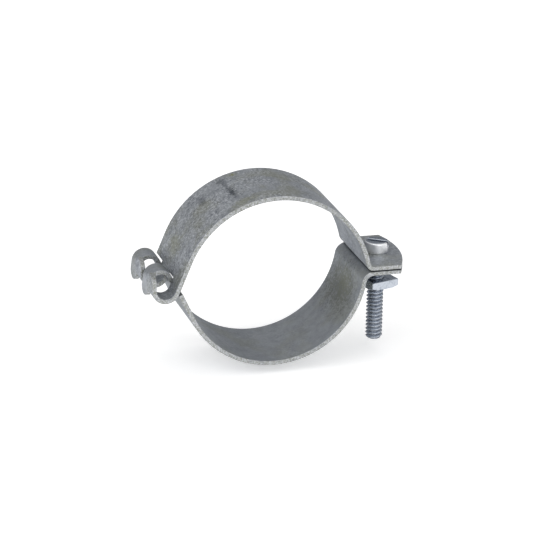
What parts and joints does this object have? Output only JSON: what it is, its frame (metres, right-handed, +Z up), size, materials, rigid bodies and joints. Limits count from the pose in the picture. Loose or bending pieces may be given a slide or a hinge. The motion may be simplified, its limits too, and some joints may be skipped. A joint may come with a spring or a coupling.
{
  "type": "hinged pipe earth clip",
  "caption": "Galvanised earth clip for a steel pipe: bent band halves hook together on one side, and a slotted screw with a square nut clamps their flanges on the other.",
  "frame": {"origin": "middle of the ring, in the plane where the two flanges meet, at the middle of the band's width", "axes": "+Y along the pipe, +X towards the flanges and the screw, +Z up along the screw's axis towards its head"},
  "size_m": [0.072, 0.025, 0.0473],
  "materials": {
    "galvanised_steel": "dull hot-dip galvanised, mottled grey",
    "zinc_plated_steel": "bright zinc plated"
  },
  "bodies": {
    "upper_half": {"upper_band": "galvanised_steel"},
    "lower_half": {"lower_band": "galvanised_steel"},
    "clamp_screw": {"screw": "zinc_plated_steel"},
    "clamp_nut": {"nut": "zinc_plated_steel"}
  },
  "joints": [
    {"name": "jaw_swing", "type": "hinge", "parent": "upper_half", "child": "lower_half", "pos_m": [-0.03005, 0, -0.00075], "axis": [0, 1, 0], "range_deg": [0, 4.1]},
    {"name": "screw_turn", "type": "hinge", "parent": "upper_half", "child": "clamp_screw", "pos_m": [0.03167, 0, 0], "axis": [0, 0, 1], "range_deg": [0, 4680]},
    {"name": "nut_travel", "type": "slide", "parent": "upper_half", "child": "clamp_nut", "axis": [0, 0, -1], "range_m": [0, 0.01375]}
  ],
  "couplings": [
    {"joint": "screw_turn", "follows": "nut_travel", "rad_per_m": 5936.9}
  ]
}
